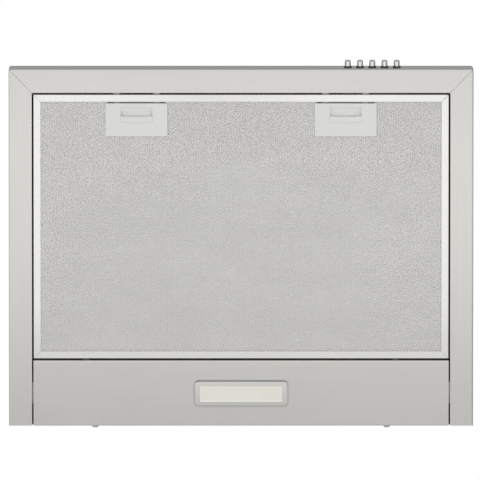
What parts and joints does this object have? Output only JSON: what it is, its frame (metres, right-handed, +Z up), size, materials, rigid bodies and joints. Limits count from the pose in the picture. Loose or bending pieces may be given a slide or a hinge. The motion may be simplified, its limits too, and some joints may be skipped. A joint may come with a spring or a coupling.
{
  "type": "chimney range hood",
  "caption": "Wall mounted kitchen extractor hood with a tapered steel canopy, a telescopic chimney, a latched metal mesh grease filter, a lamp and push buttons.",
  "frame": {"origin": "midway between the two hanging slots of the back plate, on the wall plane", "axes": "+X to the right as seen from the kitchen, +Y from the hood into the wall, +Z up"},
  "size_m": [0.6, 0.4769, 0.6884],
  "materials": {
    "canopy_steel": "brushed stainless steel",
    "cover_steel": "brushed stainless steel",
    "galvanised": "zinc coated sheet",
    "zinc_screw": "zinc plated steel",
    "dark_screw": "plated steel",
    "aluminium_frame": "satin",
    "aluminium_mesh": "expanded mesh",
    "grey_plastic": "fine satin",
    "dark_plastic": "matt",
    "black_plastic": "gloss",
    "white_plastic": "satin",
    "lens_plastic": "translucent satin",
    "chrome_cap": "polished",
    "motor_steel": "satin",
    "shaft_steel": "ground",
    "rubber_black": "matt",
    "board_white": "board with light chips",
    "capacitor_can": "satin",
    "lead_grey": "sheathed lead",
    "spring_steel": "bright"
  },
  "bodies": {
    "hood": {"front_panel": "canopy_steel", "left_panel": "canopy_steel", "right_panel": "canopy_steel", "corner_brackets": "galvanised", "back_plate": "galvanised", "deck_plate": "galvanised", "lamp_panel": "canopy_steel", "panel_clips": "spring_steel", "lamp_bezel": "grey_plastic", "lamp_lens": "lens_plastic", "lamp_housing": "white_plastic", "led_board": "board_white", "lamp_screws": "zinc_screw", "rear_screws": "dark_screw", "button_collars": "black_plastic", "switch_bracket": "galvanised", "switch_block": "white_plastic", "switch_nuts": "zinc_screw", "scroll_left": "dark_plastic", "scroll_right": "dark_plastic", "inlet_grilles": "dark_plastic", "motor": "motor_steel", "motor_bracket": "galvanised", "motor_grommets": "rubber_black", "motor_screws": "zinc_screw", "capacitor": "capacitor_can", "capacitor_clip": "white_plastic", "blower_screws": "zinc_screw", "deck_screws": "zinc_screw", "outlet_collar": "dark_plastic", "flap_pin": "shaft_steel", "terminal_box": "white_plastic", "terminal_lid": "white_plastic", "terminal_block": "white_plastic", "cord_gland": "dark_plastic", "switch_lead": "lead_grey", "motor_lead": "lead_grey", "lamp_lead": "lead_grey", "lower_chimney": "cover_steel", "chimney_screws": "zinc_screw"},
    "filter": {"filter_frame": "aluminium_frame", "filter_face_mesh": "aluminium_mesh", "filter_layers": "aluminium_mesh", "filter_tabs": "aluminium_frame", "latch_bases": "grey_plastic", "latch_springs": "spring_steel"},
    "latch_left_slider": {"latch_left": "grey_plastic"},
    "latch_right_slider": {"latch_right": "grey_plastic"},
    "fan_wheel": {"impeller": "dark_plastic", "motor_shaft": "shaft_steel"},
    "left_flap": {"flap_left": "dark_plastic"},
    "right_flap": {"flap_right": "dark_plastic"},
    "upper_cover": {"upper_chimney": "cover_steel", "flue_bracket": "galvanised", "flue_screws": "zinc_screw"},
    "button_1": {"push_button_1": "chrome_cap"},
    "button_2": {"push_button_2": "chrome_cap"},
    "button_3": {"push_button_3": "chrome_cap"},
    "button_4": {"push_button_4": "chrome_cap"},
    "button_5": {"push_button_5": "chrome_cap"}
  },
  "joints": [
    {"name": "filter_tilt", "type": "hinge", "parent": "hood", "child": "filter", "pos_m": [0, -0.09, -0.2011], "axis": [1, 0, 0], "range_deg": [0, 45]},
    {"name": "latch_left_slide", "type": "slide", "parent": "filter", "child": "latch_left_slider", "axis": [0, 1, 0], "range_m": [-0.002, 0.004], "stiffness_N_per_m": 300, "springref_m": -0.004, "deforming": ["latch_springs"]},
    {"name": "latch_right_slide", "type": "slide", "parent": "filter", "child": "latch_right_slider", "axis": [0, 1, 0], "range_m": [-0.002, 0.004], "stiffness_N_per_m": 300, "springref_m": -0.004, "deforming": ["latch_springs"]},
    {"name": "button_1_press", "type": "slide", "parent": "hood", "child": "button_1", "axis": [0, 1, 0], "range_m": [0, 0.003], "stiffness_N_per_m": 400, "springref_m": -0.002},
    {"name": "button_2_press", "type": "slide", "parent": "hood", "child": "button_2", "axis": [0, 1, 0], "range_m": [0, 0.003], "stiffness_N_per_m": 400, "springref_m": -0.002},
    {"name": "button_3_press", "type": "slide", "parent": "hood", "child": "button_3", "axis": [0, 1, 0], "range_m": [0, 0.003], "stiffness_N_per_m": 400, "springref_m": -0.002},
    {"name": "button_4_press", "type": "slide", "parent": "hood", "child": "button_4", "axis": [0, 1, 0], "range_m": [0, 0.003], "stiffness_N_per_m": 400, "springref_m": -0.002},
    {"name": "button_5_press", "type": "slide", "parent": "hood", "child": "button_5", "axis": [0, 1, 0], "range_m": [0, 0.003], "stiffness_N_per_m": 400, "springref_m": -0.002},
    {"name": "fan_spin", "type": "hinge", "parent": "hood", "child": "fan_wheel", "pos_m": [0, -0.145, -0.04], "axis": [1, 0, 0], "continuous": true},
    {"name": "left_flap_turn", "type": "hinge", "parent": "hood", "child": "left_flap", "pos_m": [0, -0.089, 0.0749], "axis": [0, 1, 0], "range_deg": [0, 75]},
    {"name": "right_flap_turn", "type": "hinge", "parent": "hood", "child": "right_flap", "pos_m": [0, -0.089, 0.0749], "axis": [0, -1, 0], "range_deg": [0, 75]},
    {"name": "upper_cover_slide", "type": "slide", "parent": "hood", "child": "upper_cover", "axis": [0, 0, 1], "range_m": [0, 0.3]}
  ]
}
